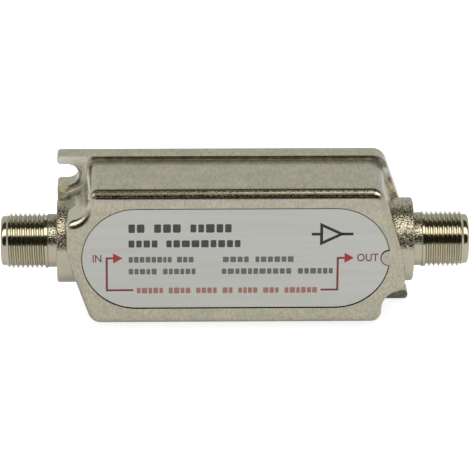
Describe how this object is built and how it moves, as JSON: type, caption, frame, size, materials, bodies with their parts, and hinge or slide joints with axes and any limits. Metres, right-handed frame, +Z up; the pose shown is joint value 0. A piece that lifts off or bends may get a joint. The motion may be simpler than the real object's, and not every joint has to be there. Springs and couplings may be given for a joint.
{
  "type": "tv signal amplifier",
  "caption": "In-line coaxial signal amplifier: a flat die-cast case with a threaded port at each end, a printed front label and open fixing slots in its back flange.",
  "frame": {"origin": "on the floor under the middle of the case, which stands on its long lower edge", "axes": "+X from the input port to the output port, -Y out of the labelled front, +Z up"},
  "size_m": [0.0794, 0.0156, 0.0271],
  "materials": {
    "cast_case": "satin nickel plate on a zinc die casting",
    "cover_plate": "tinned sheet steel",
    "label_foil": "brushed foil with printed marks",
    "insulator": "moulded plastic",
    "contact_metal": "plated spring brass",
    "board_laminate": "glass-fibre laminate with solder resist",
    "copper": "copper foil",
    "screw_steel": "zinc plated",
    "solder": "tinned",
    "chip_ceramic": "ceramic",
    "chip_black": "glazed resistor body",
    "moulded_black": "moulded epoxy",
    "can_metal": "aluminium can",
    "ferrite": "ferrite",
    "winding_wire": "enamelled copper wire"
  },
  "bodies": {
    "root": {"housing": "cast_case", "rear_cover": "cover_plate", "front_label": "label_foil", "input_entry_guide": "insulator", "output_entry_guide": "insulator", "input_contact_holder": "insulator", "output_contact_holder": "insulator", "input_centre_contact": "contact_metal", "output_centre_contact": "contact_metal", "circuit_board": "board_laminate", "board_tracks": "copper", "board_screws": "screw_steel", "solder_joints": "solder", "coupling_capacitors": "chip_ceramic", "bypass_capacitors": "chip_ceramic", "bias_resistors": "chip_black", "chip_end_caps": "solder", "input_stage_transistor": "moulded_black", "output_stage_transistor": "moulded_black", "transistor_leads": "solder", "voltage_regulator": "moulded_black", "regulator_leads": "solder", "surge_diode": "moulded_black", "smoothing_capacitor": "can_metal", "capacitor_base": "moulded_black", "input_choke_core": "ferrite", "output_choke_core": "ferrite", "input_choke_winding": "winding_wire", "output_choke_winding": "winding_wire"}
  },
  "joints": []
}
